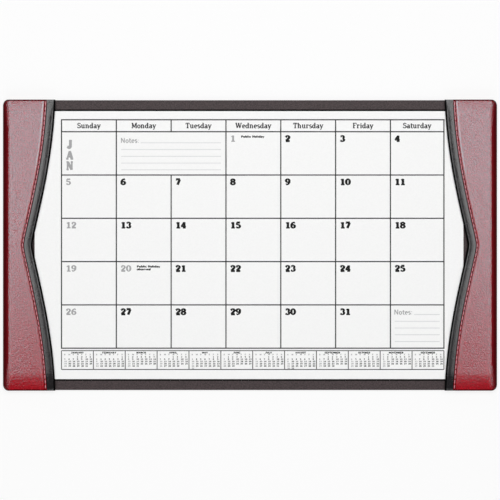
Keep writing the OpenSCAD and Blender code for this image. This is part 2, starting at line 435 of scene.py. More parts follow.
lining_black = lining_cloth()
lining_from = half_w + lining_low.x
for side, name in sides:
    bm = fresh_grid(lining_columns, lining_rows)
    for vert in bm.verts:
        y = lining_high.y * vert.co.y
        s = lining_from + (seam_at(y) - lining_from) * (vert.co.x + 1) / 2
        vert.co = (side * (half_w - s), y, lining_high.z)
    face_out(bm, side)
    lining_area = mesh_area(bm)
    lining = shell(name + "_lining_cloth", bm, [lining_black], lining_t)
    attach(lining, "base")
    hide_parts(name + "_rail_lining")
    seam_at(lining_high.y) - lining_from

# Rail panels: burgundy leather drawn over foam, round the outer edge and under the base.
# The top is crowned at both ends and rolls over at the side, and it is sewn down along the
# seam, where the stitches pull a groove into it.
panel_low, panel_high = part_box("left_rail_panel")
lip_z = lining_low.z
leather_t = 0.0009
corner_r = 0.0105
side_roll_w = 0.016
side_roll_h = 0.0075
end_roll_h = 0.0004
end_fall_w = 0.030
end_fall_h = 0.0026
end_fall_power = 1.5
closed_w = half_w + spacer_high.x
panel_turn_in = 0.009
groove_lines = (
    0.0, 0.0003, 0.0006, 0.001, 0.0014, 0.0018, 0.0022, 0.0026, 0.003,
    0.0034, 0.0038, 0.0043, 0.0048, 0.0054, 0.006, 0.0067, 0.0075, 0.009,
)
groove_at = 0.0032
groove_half_w = 0.0008
groove_depth = 0.0008
edge_round = 0.001
edge_fall = 0.0004
ridge_at = 0.0060
ridge_half_w = 0.0009
ridge_h = 0.0001
pucker = 0.00012
stitch_pitch = 0.0085
# Painted shade on the outer edge: where it begins, where it is full, and how dark it gets there.
painted_shade_from = 0.013
painted_shade_to = 0.005
painted_edge_shade = 0.3
roll_steps = 14
top_columns = 20
rows_per_stitch = 5


def shade_at_edge(tree, tint):
    """Painted shade: darkens the colour towards the pad's outer edges, where the leather rolls over."""
    split = tree.nodes.new("ShaderNodeSeparateXYZ")
    tree.links.new(object_place(tree), split.inputs["Vector"])
    dim = tree.nodes.new("ShaderNodeMapRange")
    dim.inputs["From Min"].default_value = half_w - painted_shade_from
    dim.inputs["From Max"].default_value = half_w - painted_shade_to
    dim.inputs["To Min"].default_value = 1.0
    dim.inputs["To Max"].default_value = painted_edge_shade
    shaded = tree.nodes.new("ShaderNodeVectorMath")
    shaded.operation = "SCALE"
    tree.links.new(math_node(tree, "ABSOLUTE", split.outputs["X"]), dim.inputs["Value"])
    tree.links.new(tint, shaded.inputs[0])
    tree.links.new(dim.outputs["Result"], shaded.inputs["Scale"])
    return shaded.outputs["Vector"]


def burgundy_leather(name, dye, rough, ior, gloss, relief):
    """Burgundy leather in one variant, darkened towards the outer edges as painted shade: glossy on top, dull
    and dark where it holds painted shade, extra glossy where it holds a painted highlight.
    """
    material, tree, shader = new_material(name)
    normal, valleys = grain(tree, 0.0016, 0.0005, relief)
    speckle = object_noise(tree, 500, 1.0)
    tint = shade_at_edge(tree, tint_between(tree, speckle, *dye))
    look(tree, shader, tint, rough_between(tree, valleys, *rough), normal, gloss)
    shader.inputs["IOR"].default_value = ior
    shader.inputs["Specular Tint"].default_value = (0.42, 0.94, 1, 1)
    return material


def roll_stations(width):
    """Distances from an edge, closer together where the roll is steep."""
    return [width * (1 - math.cos(math.pi / 2 * k / roll_steps)) for k in range(roll_steps + 1)]


def panel_stations(y):
    """Distances from the outer edge of the lines that run along the panel."""
    seam = seam_at(y)
    outer = roll_stations(side_roll_w)
    inner = [seam - line for line in reversed(groove_lines)]
    gap = inner[0] - outer[-1]
    between = [outer[-1] + gap * k / top_columns for k in range(1, top_columns)]
    return outer + between + inner


def end_stations():
    """Places along Y of the lines that run across the rail, from the front end to the rear."""
    ends = [half_d - d for d in roll_stations(corner_r)]
    straight = ends[-1]
    count = round(2 * straight / stitch_pitch * rows_per_stitch)
    between = [straight * (2 * k / count - 1) for k in range(1, count)]
    return [-y for y in ends] + between + ends[::-1]


def roll_drop(along, across):
    """Fall of the leather at distances from the outer edge and from the rail's end."""
    a = max(0.0, 1 - along / side_roll_w)
    b = max(0.0, 1 - across / corner_r)
    end_fall = end_fall_h * (1 - a) * max(0.0, 1 - across / end_fall_w) ** end_fall_power
    reach = min(1.0, math.hypot(a, b))
    if reach == 0:
        return end_fall
    height = (a * a * side_roll_h + b * b * end_roll_h) / (a * a + b * b)
    return end_fall + height * (1 - math.sqrt(1 - reach * reach))


def seam_drop(off, y):
    """Fall of the leather at a distance from its sewn edge: round edge, groove and the ridge beside it."""
    groove = groove_depth * math.exp(-((off - groove_at) / groove_half_w) ** 2)
    ripple = 1 + pucker / groove_depth * math.cos(2 * math.pi * y / stitch_pitch)
    edge = edge_fall * max(0.0, 1 - off / edge_round) ** 2
    ridge = ridge_h * math.exp(-((off - ridge_at) / ridge_half_w) ** 2)
    return groove * ripple + edge - ridge


def panel_foot(s):
    """Height at which the panel's end is turned in: under the base outside, under the rail inside."""
    return panel_low.z if s < closed_w else lip_z


burgundy_dye = ((0.215, 0.001, 0.004), (0.455, 0.003, 0.013))
# Painted shade: dark dull leather in the stitch groove, along the seam's edge and at the rails' very ends.
shade_dye = ((0.055, 0.0004, 0.001), (0.085, 0.0008, 0.003))
# Painted shade: darker, duller leather on the rolled outer edge and on the walls below it.
roll_shade_dye = ((0.17, 0.001, 0.004), (0.28, 0.002, 0.008))
finishes = [
    burgundy_leather("burgundy_leather", burgundy_dye, (0.12, 0.24), ior=1.54, gloss=0.95, relief=0.42),
    burgundy_leather("painted_shade_leather", shade_dye, (0.6, 0.6), ior=1.5, gloss=0.02, relief=0.2),
    burgundy_leather("roll_shade_leather", roll_shade_dye, (0.4, 0.5), ior=1.5, gloss=0.08, relief=0.3),
    # Painted highlight: the same leather with stronger, sharper reflection, on a band beside the groove.
    burgundy_leather("ridge_highlight_leather", burgundy_dye, (0.08, 0.12), ior=1.61, gloss=0.95, relief=0.1),
]
glossy, shade_finish, roll_shade, ridge_highlight = range(4)
finish_at = {"end": shade_finish, "edge": shade_finish, "groove": shade_finish, "roll": roll_shade, "ridge": ridge_highlight}
# How far in the roll's painted shade reaches, and how it narrows near the ends.
shaded_roll_columns = 11
shaded_roll_end_columns = 5
shaded_roll_taper = 0.045
# Painted shade in the stitch groove.
shaded_groove = (0.0022, 0.0039)
# Painted highlight band beside the groove, only on the rear part of each rail.
highlight_ridge = (0.0053, 0.0076)
highlight_from = 0.13
# Painted shade along the seam's edge, where the cut edge is also dark, and at the rails' very ends.
shaded_edge = 0.0007
shaded_end = 0.0024


def rolled_to(across):
    """Last line of the roll's painted shade, which narrows towards the rail's ends."""
    return shaded_roll_end_columns + (shaded_roll_columns - shaded_roll_end_columns) * min(1.0, across / shaded_roll_taper)


def rim_edges(bm, rim):
    return [e for e in bm.edges if e.is_boundary and all(v in rim for v in e.verts)]


ys = end_stations()
columns = len(panel_stations(0)) - 1
rows = len(ys) - 1
for side, name in sides:
    bm = fresh_grid(columns, rows)
    rim = set()
    marked = {key: set() for key in finish_at}
    for vert in bm.verts:
        column, row = grid_index(vert, columns, rows)
        y = ys[row]
        station = panel_stations(y)[column]
        off = seam_at(y) - station
        s, across = round_corner(station, half_d - abs(y), corner_r)
        z = panel_high.z - roll_drop(s, across) - seam_drop(off, y)
        vert.co = (side * (half_w - s), math.copysign(half_d - across, y), z)
        if column == 0 or row in (0, rows):
            rim.add(vert)
        if column <= rolled_to(half_d - abs(y)):
            marked["roll"].add(vert)
        if shaded_groove[0] <= off <= shaded_groove[1]:
            marked["groove"].add(vert)
        if y > highlight_from and highlight_ridge[0] <= off <= highlight_ridge[1]:
            marked["ridge"].add(vert)
        if off < shaded_edge:
            marked["edge"].add(vert)
        if half_d - abs(y) < shaded_end:
            marked["end"].add(vert)
    # Faces lying wholly in a band take its painted shade or painted highlight variant.
    for face in bm.faces:
        corners = set(face.verts)
        face.material_index = next((finish_at[key] for key in marked if corners <= marked[key]), glossy)
    edges = rim_edges(bm, rim)
    for step in ("down", "in"):
        edges, faces, verts = grow(bm, edges)
        # The walls take the roll's painted shade too.
        for face in faces:
            face.material_index = roll_shade
        for vert in verts:
            s = half_w - abs(vert.co.x)
            across = half_d - abs(vert.co.y)
            if step == "down":
                vert.co.z = panel_foot(s)
            else:
                inward_x = max(0.0, 1 - s / corner_r)
                inward_y = max(0.0, 1 - across / corner_r)
                length = math.hypot(inward_x, inward_y) or 1.0
                vert.co.x -= side * panel_turn_in * inward_x / length
                vert.co.y -= math.copysign(panel_turn_in * inward_y / length, vert.co.y)
    face_out(bm, side)
    panel = shell(name + "_burgundy_panel", bm, finishes, leather_t)
    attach(panel, "base")
    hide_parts(name + "_rail_panel")

# Rail foam: a thin sheet of grey foam between the stiffener and the leather. It gives the
# rail its soft crown and fills the rolled outer edge.
foam_low, foam_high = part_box("left_rail_padding")
foam_t = 0.0022
foam_inset = 0.003
foam_under = 0.0006
foam_lap = 0.0065
foam_spread = 1.4
foam_columns = 26
foam_rows = 160


def mottled(name, noise, dark, light, rough, specular=0.5, relief=None):
    """Material with a cloudy tint between two colours, and a fine relief where one is given."""
    material, tree, shader = new_material(name)
    cloud = object_noise(tree, *noise)
    normal = bump_from(tree, cloud, *relief) if relief else None
    look(tree, shader, tint_between(tree, cloud, dark, light), rough, normal, specular)
    return material


foam_grey = mottled("grey_foam", (1600, 3.0), (0.16, 0.16, 0.15), (0.3, 0.3, 0.28), 0.9, relief=(0.6, 0.0003))
for side, name in sides:
    bm = fresh_grid(foam_columns, foam_rows)
    for vert in bm.verts:
        y = (half_d - foam_inset) * vert.co.y
        share = (vert.co.x + 1) / 2
        s = foam_inset + (seam_at(y) - foam_lap - foam_inset) * share ** foam_spread
        s, across = round_corner(s - foam_inset, half_d - foam_inset - abs(y), corner_r)
        z = foam_high.z - foam_under - roll_drop(s + foam_inset, across + foam_inset)
        vert.co = (
            side * (half_w - foam_inset - s),
            math.copysign(half_d - foam_inset - across, y),
            max(z, foam_low.z + foam_t),
        )
    face_out(bm, side)
    foam = shell(name + "_foam_layer", bm, [foam_grey], foam_t)
    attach(foam, "base")
    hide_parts(name + "_rail_padding")

# Edge strips: soft black leather sewn under the panel's edge, rolled over the rail's waisted
# inner edge and turned under. It closes over the rail's ends as the panel does.
strip_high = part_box("left_rail_edge_strip")[1]
stiffener_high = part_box("left_rail_stiffener")[1]
strip_w = 0.0145
strip_t = 0.8 * leather_t
slope_step = 0.0005
strip_lap = 0.006
strip_lap_depth = 0.0012
strip_crown_at = 0.004
strip_clear = 0.0002
strip_shoulder = stiffener_high.z + strip_clear
strip_lip = 0.001
# Width of the matte black hem: partly edge dye, partly painted shade.
dyed_and_shaded_w = 0.003
seam_fall = 0.0002
strip_flat_steps = 4
strip_roll_steps = 18
foot_round = 0.0005
foot_steps = 3


def black_leather():
    material, tree, shader = new_material("black_leather")
    normal, valleys = grain(tree, 0.0018, 0.0003, 0.5)
    patches = object_noise(tree, 30, 4.0)
    tint = tint_between(tree, patches, (0.010, 0.009, 0.010), (0.02, 0.018, 0.019))
    look(tree, shader, tint, rough_between(tree, valleys, 0.13, 0.22), normal, 0.52)
    return material


def seam_slope(y):
    """Slope of the seam, the same in front of the waist and behind it."""
    return (seam_at(abs(y) + slope_step) - seam_at(abs(y) - slope_step)) / (2 * slope_step)


def strip_width(y):
    """Width of the strip along X, which keeps its width square to the seam."""
    return strip_w * math.hypot(1, seam_slope(y))


def strip_profile(y):
    """Section of the strip, from its lap to its hem: distances from the outer edge, and heights."""
    seam = seam_at(y)
    stretch = strip_width(y) / strip_w
    inner = seam + strip_width(y)
    top = strip_high.z
    lap_z = top - strip_lap_depth
    points = [Vector((seam - strip_lap, lap_z)), Vector((seam - foot_round, lap_z))]
    for k in range(strip_flat_steps):
        share = 1 - k / strip_flat_steps
        reach = strip_crown_at * (1 - share)
        points.append(Vector((seam + reach * stretch, top - seam_fall * share ** 2)))
    roll_w = strip_w - strip_crown_at - strip_lip
    for k in range(strip_roll_steps + 1):
        a = math.pi / 2 * k / strip_roll_steps
        reach = strip_crown_at + roll_w * math.sin(a)
        height = (top - strip_shoulder) * math.cos(a)
        points.append(Vector((seam + reach * stretch, strip_shoulder + height)))
    points.append(Vector((inner, strip_shoulder)))
    points += arc((inner - foot_round, lip_z + foot_round), foot_round, 0, -90, foot_steps)
    points.append(Vector((seam, lip_z)))
    return points


# Matte near-black on the strip's hem and the wall under it: partly edge dye, partly painted shade where the
# strip turns under towards the paper.
edge_dye_and_shade = mottled("black_edge_dye_and_shade", (500, 4.0), (0.001, 0.001, 0.001), (0.003, 0.003, 0.003), 0.9, 0.02)
strip_finishes = [black_leather(), edge_dye_and_shade]
strip_columns = len(strip_profile(0)) - 1
lap_points = 2
wall_column = lap_points + strip_flat_steps + strip_roll_steps + 1
for side, name in sides:
    bm = fresh_grid(strip_columns, rows)
    rim = set()
    dyed_and_shaded = set()
    for vert in bm.verts:
        column, row = grid_index(vert, strip_columns, rows)
        y = ys[row]
        point = strip_profile(y)[column]
        crown = max(0.0, point.y - strip_shoulder)
        fall = roll_drop(1, half_d - abs(y)) / (strip_high.z - strip_shoulder)
        vert.co = (side * (half_w - point.x), y, point.y - crown * min(1.0, fall))
        if row in (0, rows) and column <= wall_column:
            rim.add(vert)
        inset = seam_at(y) + strip_width(y) - point.x
        if column >= wall_column or inset < dyed_and_shaded_w * strip_width(y) / strip_w:
            dyed_and_shaded.add(vert)
    for face in bm.faces:
        face.material_index = int(all(v in dyed_and_shaded for v in face.verts))
    for vert in grow(bm, rim_edges(bm, rim))[2]:
        vert.co.z = lip_z
    face_out(bm, side)
    strip = shell(name + "_black_strip", bm, strip_finishes, strip_t)
    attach(strip, "base")
    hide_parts(name + "_rail_edge_strip")

# Stitching: one row of thick burgundy thread through the lap of panel and strip. Each
# stitch lies in the groove and dives into the leather at both ends.
stitch_inset = 0.0018
stitch_len = 0.0066
thread_w = 0.0016
thread_h = 0.0012
stitch_bend = 0.0001
stitch_row = 29
stitch_sides = 8


def waxed_thread():
    material, tree, shader = new_material("burgundy_thread_and_highlight")
    plies = tree.nodes.new("ShaderNodeTexWave")
    plies.bands_direction = "DIAGONAL"
    plies.inputs["Scale"].default_value = 260
    tree.links.new(object_place(tree), plies.inputs["Vector"])
    # The tint runs from red to pale pink, lighter than the leather: partly the thread's colour, partly
    # painted highlight of its gloss.
    tint = tint_between(tree, plies.outputs["Fac"], (0.52, 0.115, 0.15), (0.84, 0.39, 0.43))
    look(tree, shader, tint, 0.45, bump_from(tree, plies.outputs["Fac"], 0.5, 0.0002), 0.8)
    return material


thread_red_and_highlight = waxed_thread()
for side, name in sides:
    bm = bmesh.new()
    for k in range(-stitch_row, stitch_row + 1):
        y = k * stitch_pitch
        s = seam_at(y) - stitch_inset
        turn = math.copysign(1, y) * math.atan(seam_slope(y))
        z = panel_high.z - roll_drop(1, half_d - abs(y)) - seam_drop(stitch_inset, y) + stitch_bend
        verts = bmesh.ops.create_uvsphere(
            bm, u_segments=stitch_sides, v_segments=stitch_sides, radius=0.5
        )["verts"]
        lie = Matrix.Rotation(math.pi / 2, 4, "X")
        size = Matrix.Diagonal((thread_w, stitch_len, thread_h, 1))
        spin = Matrix.Rotation(side * turn, 4, "Z")
        move = Matrix.Translation((side * (half_w - s), y, z))
        bmesh.ops.transform(bm, matrix=move @ spin @ size @ lie, verts=verts)
    stitching = shell(name + "_stitches", bm, [thread_red_and_highlight])
    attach(stitching, "base")
    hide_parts(name + "_rail_stitching")

# Backing card and glue: a black card under the calendar's sheets, seen as a thin line in
# front of and behind them, and a line of black padding glue along their rear edge.
card_black = mottled(
    "black_card", (700, 5.0), (0.002, 0.002, 0.002), (0.006, 0.006, 0.006), 0.9, 0.02, (0.3, 0.0001)
)
dress("backing_card", card_black)
dress("binding_glue", card_black)

# Month sheets: smooth white paper, one sheet for each month, printed on top in black and
# grey. The print is a film of ink that lies on its sheet and moves with it.
ink_lift = 0.00002
months = 12
paper = mottled(
    "white_paper", (380, 6.0), (0.90, 0.90, 0.895), (0.93, 0.93, 0.925), 0.75, 0.2, (0.15, 0.00005)
)
for n in range(1, months + 1):
    dress("month_sheet_%02d" % n, paper)

# Print: slab-serif numerals and letters, laid down as flat strokes of ink. A stroke is a
# straight bar, a bow of an ellipse, a slab at the end of a stem, or a round dot. Sizes here
# are shares of a capital's height.
stroke_steps = 14
stroke_sweep = 270
stroke_lift = 0.0004
flat_bar_w = 0.37
dot_sides = 10
weld = 1e-5


def bar(x0, y0, x1, y1, heavy=True):
    return ("bar", Vector((x0, y0)), Vector((x1, y1)), heavy)


def bow(x, y, wide, high, start=0, end=360):
    return ("bow", Vector((x, y)), wide, high, start, end)


def slab(x0, x1, y):
    return ("slab", Vector((x0, y)), Vector((x1, y)))


def dot(x, y, radius=0.09):
    return ("dot", Vector((x, y)), radius)


def stem(x, top=1.0, left=0.15, right=0.17):
    """Upright with a slab at its foot."""
    return [bar(x, 0, x, top), slab(x - left, x + right, 0.05)]


glyphs = {
    "0": (0.76, [bow(0.37, 0.5, 0.25, 0.45)]),
    "1": (0.76, stem(0.40, 1, 0.26, 0.27) + [bar(0.40, 0.93, 0.14, 0.80, False)]),
    "2": (0.76, [bow(0.36, 0.71, 0.22, 0.24, 165, -35), bar(0.55, 0.60, 0.16, 0.12),
                 bar(0.09, 0.08, 0.66, 0.08), dot(0.18, 0.72, 0.11)]),
    "3": (0.76, [bow(0.34, 0.74, 0.20, 0.21, 150, -80), bow(0.34, 0.28, 0.24, 0.23, 85, -155),
                 dot(0.17, 0.77), dot(0.16, 0.22, 0.1)]),
    "4": (0.76, stem(0.48, 1, 0.2, 0.2) + [bar(0.46, 0.97, 0.07, 0.30, False), slab(0.03, 0.72, 0.28)]),
    "5": (0.76, [bar(0.16, 0.92, 0.62, 0.92), bar(0.17, 0.95, 0.15, 0.50, False),
                 bow(0.35, 0.31, 0.24, 0.26, 125, -150), dot(0.17, 0.2, 0.1)]),
    "6": (0.76, [bow(0.37, 0.31, 0.23, 0.26), bow(0.50, 0.42, 0.36, 0.53, 75, 180), dot(0.58, 0.84)]),
    "7": (0.76, [bar(0.08, 0.92, 0.66, 0.92), slab(0.06, 0.14, 0.78), bar(0.60, 0.88, 0.30, 0.0)]),
    "8": (0.76, [bow(0.37, 0.745, 0.20, 0.205), bow(0.37, 0.275, 0.24, 0.235)]),
    "9": (0.76, [bow(0.37, 0.69, 0.23, 0.26), bow(0.24, 0.58, 0.36, 0.53, -105, 0), dot(0.16, 0.16)]),
    "A": (0.90, [bar(0.43, 0.97, 0.14, 0.05, False), bar(0.44, 0.97, 0.73, 0.05), slab(0.24, 0.62, 0.32),
                 slab(0.0, 0.30, 0.05), slab(0.56, 0.90, 0.05)]),
    "B": (0.80, [bar(0.2, 0, 0.2, 1), slab(0.05, 0.42, 0.95), slab(0.2, 0.42, 0.52), slab(0.05, 0.44, 0.05),
                 bow(0.40, 0.735, 0.20, 0.215, 90, -90), bow(0.42, 0.285, 0.23, 0.235, 90, -90)]),
    "C": (0.80, [bow(0.42, 0.5, 0.31, 0.45, 45, 315), bar(0.68, 0.94, 0.68, 0.70, False)]),
    "D": (0.86, [bar(0.2, 0, 0.2, 1), slab(0.05, 0.42, 0.95), slab(0.05, 0.42, 0.05),
                 bow(0.40, 0.5, 0.32, 0.45, 90, -90)]),
    "E": (0.78, [bar(0.2, 0, 0.2, 1), slab(0.05, 0.68, 0.95), slab(0.2, 0.5, 0.52), slab(0.05, 0.70, 0.05),
                 bar(0.66, 0.95, 0.66, 0.72, False), bar(0.68, 0.05, 0.68, 0.30, False)]),
    "F": (0.74, stem(0.2, 1, 0.15, 0.22) + [slab(0.05, 0.68, 0.95), slab(0.2, 0.5, 0.52),
                                            bar(0.65, 0.95, 0.65, 0.70, False)]),
    "G": (0.86, [bow(0.42, 0.5, 0.31, 0.45, 45, 330), bar(0.68, 0.94, 0.68, 0.70, False),
                 bar(0.70, 0.42, 0.70, 0.10), slab(0.50, 0.84, 0.43)]),
    "H": (0.92, stem(0.2) + stem(0.70) + [slab(0.2, 0.70, 0.52), slab(0.05, 0.37, 0.95),
                                          slab(0.55, 0.87, 0.95)]),
    "I": (0.44, stem(0.21, 1, 0.17, 0.17) + [slab(0.04, 0.38, 0.95)]),
    "J": (0.66, [bar(0.42, 1, 0.42, 0.28), bow(0.26, 0.28, 0.16, 0.23, 0, -165), slab(0.24, 0.62, 0.95),
                 dot(0.13, 0.27, 0.1)]),
    "L": (0.74, [bar(0.2, 0, 0.2, 1), slab(0.05, 0.38, 0.95), slab(0.05, 0.66, 0.05),
                 bar(0.64, 0.05, 0.64, 0.34, False)]),
    "M": (1.04, stem(0.86) + [bar(0.18, 0, 0.18, 1, False), bar(0.20, 0.98, 0.51, 0.14),
                              bar(0.82, 0.98, 0.51, 0.14, False), slab(0.04, 0.32, 0.05),
                              slab(0.04, 0.24, 0.95), slab(0.80, 1.0, 0.95)]),
    "N": (0.90, [bar(0.18, 0, 0.18, 1, False), bar(0.72, 1, 0.72, 0, False), bar(0.19, 0.96, 0.71, 0.04),
                 slab(0.04, 0.32, 0.05), slab(0.04, 0.22, 0.95), slab(0.58, 0.86, 0.95)]),
    "O": (0.84, [bow(0.42, 0.5, 0.31, 0.45)]),
    "P": (0.76, stem(0.2, 1, 0.15, 0.2) + [slab(0.05, 0.42, 0.95), slab(0.2, 0.42, 0.48),
                                           bow(0.40, 0.715, 0.23, 0.235, 90, -90)]),
    "R": (0.84, stem(0.2) + [slab(0.05, 0.42, 0.95), slab(0.2, 0.42, 0.50), bar(0.42, 0.50, 0.66, 0.05),
                             bow(0.40, 0.725, 0.21, 0.225, 90, -90), slab(0.56, 0.82, 0.05)]),
    "S": (0.70, [bow(0.34, 0.735, 0.21, 0.215, 35, 270), bow(0.34, 0.28, 0.24, 0.235, 90, -150),
                 bar(0.55, 0.96, 0.55, 0.74, False), bar(0.10, 0.04, 0.10, 0.28, False)]),
    "T": (0.78, stem(0.38, 1, 0.18, 0.18) + [slab(0.05, 0.71, 0.95), bar(0.08, 0.95, 0.08, 0.70, False),
                                             bar(0.68, 0.95, 0.68, 0.70, False)]),
    "U": (0.86, [bar(0.2, 1, 0.2, 0.32), bow(0.44, 0.32, 0.24, 0.27, 180, 360),
                 bar(0.68, 1, 0.68, 0.32, False), slab(0.05, 0.37, 0.95), slab(0.54, 0.82, 0.95)]),
    "V": (0.88, [bar(0.15, 0.97, 0.43, 0.03), bar(0.72, 0.97, 0.45, 0.03, False), slab(0.0, 0.32, 0.95),
                 slab(0.58, 0.86, 0.95)]),
    "W": (1.20, [bar(0.14, 0.97, 0.34, 0.03), bar(0.58, 0.97, 0.36, 0.03, False),
                 bar(0.58, 0.97, 0.80, 0.03), bar(1.03, 0.97, 0.82, 0.03, False), slab(0.0, 0.30, 0.95),
                 slab(0.46, 0.72, 0.95), slab(0.90, 1.17, 0.95)]),
    "Y": (0.86, [bar(0.14, 0.97, 0.42, 0.46), bar(0.72, 0.97, 0.44, 0.46, False), bar(0.43, 0.5, 0.43, 0),
                 slab(0.0, 0.30, 0.95), slab(0.58, 0.86, 0.95), slab(0.26, 0.60, 0.05)]),
    "a": (0.64, [bow(0.26, 0.20, 0.16, 0.17), bar(0.45, 0.50, 0.45, 0.08),
                 bow(0.28, 0.47, 0.17, 0.18, 0, 150), slab(0.42, 0.62, 0.05)]),
    "b": (0.70, [bar(0.17, 1, 0.17, 0), bow(0.37, 0.33, 0.20, 0.30), slab(0.02, 0.2, 0.95)]),
    "c": (0.60, [bow(0.32, 0.33, 0.21, 0.30, 45, 315)]),
    "d": (0.72, [bow(0.29, 0.33, 0.20, 0.30), bar(0.50, 1, 0.50, 0), slab(0.34, 0.54, 0.95),
                 slab(0.48, 0.68, 0.05)]),
    "e": (0.62, [bow(0.31, 0.33, 0.21, 0.30, 0, 310), slab(0.12, 0.54, 0.36)]),
    "h": (0.78, stem(0.18, 1, 0.14, 0.14) + stem(0.54, 0.42, 0.14, 0.15) + [
        bow(0.36, 0.40, 0.18, 0.25, 165, 0), slab(0.02, 0.2, 0.95)]),
    "i": (0.42, stem(0.20, 0.68, 0.15, 0.15) + [slab(0.04, 0.22, 0.64), dot(0.20, 0.88, 0.1)]),
    "l": (0.42, stem(0.20, 1, 0.15, 0.15) + [slab(0.04, 0.22, 0.95)]),
    "n": (0.78, stem(0.18, 0.68, 0.14, 0.14) + stem(0.54, 0.42, 0.14, 0.15) + [
        bow(0.36, 0.40, 0.18, 0.25, 165, 0), slab(0.02, 0.2, 0.64)]),
    "o": (0.64, [bow(0.32, 0.33, 0.21, 0.30)]),
    "r": (0.58, stem(0.18, 0.68, 0.14, 0.18) + [bow(0.36, 0.42, 0.18, 0.23, 165, 60), slab(0.02, 0.2, 0.64),
                                                dot(0.44, 0.56, 0.09)]),
    "s": (0.54, [bow(0.26, 0.495, 0.15, 0.15, 30, 270), bow(0.26, 0.19, 0.17, 0.155, 90, -150)]),
    "t": (0.46, [bar(0.20, 0.90, 0.20, 0.22), bow(0.34, 0.22, 0.14, 0.19, 180, 310),
                 slab(0.04, 0.42, 0.63)]),
    "u": (0.76, [bar(0.17, 0.68, 0.17, 0.26), bow(0.35, 0.26, 0.18, 0.23, 180, 345),
                 bar(0.53, 0.68, 0.53, 0), slab(0.02, 0.2, 0.64), slab(0.38, 0.55, 0.64),
                 slab(0.5, 0.7, 0.05)]),
    "v": (0.64, [bar(0.12, 0.65, 0.31, 0.03), bar(0.52, 0.65, 0.33, 0.03, False), slab(0.0, 0.26, 0.64),
                 slab(0.42, 0.63, 0.64)]),
    "y": (0.66, [bar(0.12, 0.65, 0.32, 0.03), bar(0.54, 0.65, 0.24, -0.24, False), slab(0.0, 0.26, 0.64),
                 slab(0.43, 0.66, 0.64), dot(0.17, -0.22)]),
    ":": (0.28, [dot(0.14, 0.56, 0.07), dot(0.14, 0.08, 0.07)]),
    " ": (0.36, []),
}


def ink_face(name, thick, thin, wide, slabs=True, steps=stroke_steps):
    return {"name": name, "thick": thick, "thin": thin, "wide": wide, "slabs": slabs, "steps": steps}


bold_face = ink_face("bold", 0.36, 0.24, 1.17)
plain_face = ink_face("plain", 0.27, 0.17, 1.17)
letter_face = ink_face("letter", 0.36, 0.22, 0.94)
book_face = ink_face("book", 0.22, 0.15, 1.05)
light_face = ink_face("light", 0.18, 0.16, 1.1, slabs=False)
small_face = ink_face("small", 0.35, 0.27, 1.3, slabs=False, steps=6)


def ink_stroke(bm, points, sideways, widths):
    """Ribbon of ink along a line of points, as wide as given at each."""
    def ends(k):
        reach = sideways[k] * widths[k] / 2
        return [Vector((*(points[k] + reach), 0)), Vector((*(points[k] - reach), 0))]
    here = ends(0)
    edge = bm.edges.new([bm.verts.new(p) for p in here])
    for k in range(1, len(points)):
        edge = grow(bm, [edge])[0][0]
        ahead = ends(k)
        for vert in edge.verts:
            first = (vert.co - here[0]).length < (vert.co - here[1]).length
            vert.co = ahead[0] if first else ahead[1]
        here = ahead


def straight_stroke(bm, start, end, width):
    along = (end - start).normalized()
    across = Vector((-along.y, along.x))
    ink_stroke(bm, [start, end], [across] * 2, [width] * 2)


def bow_stroke(bm, middle, wide, high, start, end, face):
    """Bow of an ellipse, thick where it runs upright and thin where it lies flat."""
    steps = max(3, round(face["steps"] * abs(end - start) / stroke_sweep))
    angles = [math.radians(start + (end - start) * k / steps) for k in range(steps + 1)]
    points = [middle + Vector((wide * math.cos(a), high * math.sin(a))) for a in angles]
    sideways = [Vector((math.cos(a) / wide, math.sin(a) / high)).normalized() for a in angles]
    widths = [face["thin"] + (face["thick"] - face["thin"]) * math.cos(a) ** 2 for a in angles]
    ink_stroke(bm, points, sideways, widths)


def face_up(bm):
    bmesh.ops.reverse_faces(bm, faces=[f for f in bm.faces if f.normal.z < 0])


glyph_meshes = {}


def glyph_mesh(letter, face):
    """Mesh of one letter in one face, made when it is first printed."""
    key = letter, face["name"]
    if key not in glyph_meshes:
        bm = bmesh.new()
        for k, (kind, *form) in enumerate(glyphs[letter][1]):
            before = len(bm.verts)
            if kind == "bar":
                start, end, heavy = form
                straight_stroke(bm, start, end, face["thick"] if heavy else face["thin"])
            elif kind == "bow":
                bow_stroke(bm, *form, face)
            elif kind == "slab":
                if face["slabs"] or form[1].x - form[0].x > flat_bar_w:
                    straight_stroke(bm, *form, face["thin"])
            elif face["slabs"] or letter in ":i":
                middle, radius = form
                spot = Matrix.Translation((*middle, 0))
                bmesh.ops.create_circle(bm, cap_ends=True, segments=dot_sides, radius=radius, matrix=spot)
            bm.verts.ensure_lookup_table()
            for vert in bm.verts[before:]:
                vert.co.z = k * stroke_lift
        bmesh.ops.remove_doubles(bm, verts=bm.verts, dist=weld)
        bm.normal_update()
        face_up(bm)
        mesh = bpy.data.meshes.new("glyph")
        bm.to_mesh(mesh)
        bm.free()
        glyph_meshes[key] = mesh
    return glyph_meshes[key]


def text_width(text, size, face):
    return sum(glyphs[letter][0] for letter in text) * size * face["wide"]


def set_text(bm, text, x, base, size, face, ink):
    """Prints a line of text from x, on a base line, with capitals of a size."""
    scale = Matrix.Diagonal((size * face["wide"], size, size, 1))
    for letter in text:
        placed = glyph_mesh(letter, face).copy()
        placed.transform(Matrix.Translation((x, base, 0)) @ scale)
        placed.polygons.foreach_set("material_index", [ink] * len(placed.polygons))
        bm.from_mesh(placed)
        bpy.data.meshes.remove(placed)
        x += text_width(letter, size, face)


def rule(bm, x0, y0, x1, y1, width, ink):
    """Prints a straight line."""
    start, end = Vector((x0, y0)), Vector((x1, y1))
    before = len(bm.faces)
    straight_stroke(bm, start, end, width)
    bm.faces.ensure_lookup_table()
    for face in bm.faces[before:]:
        face.material_index = ink


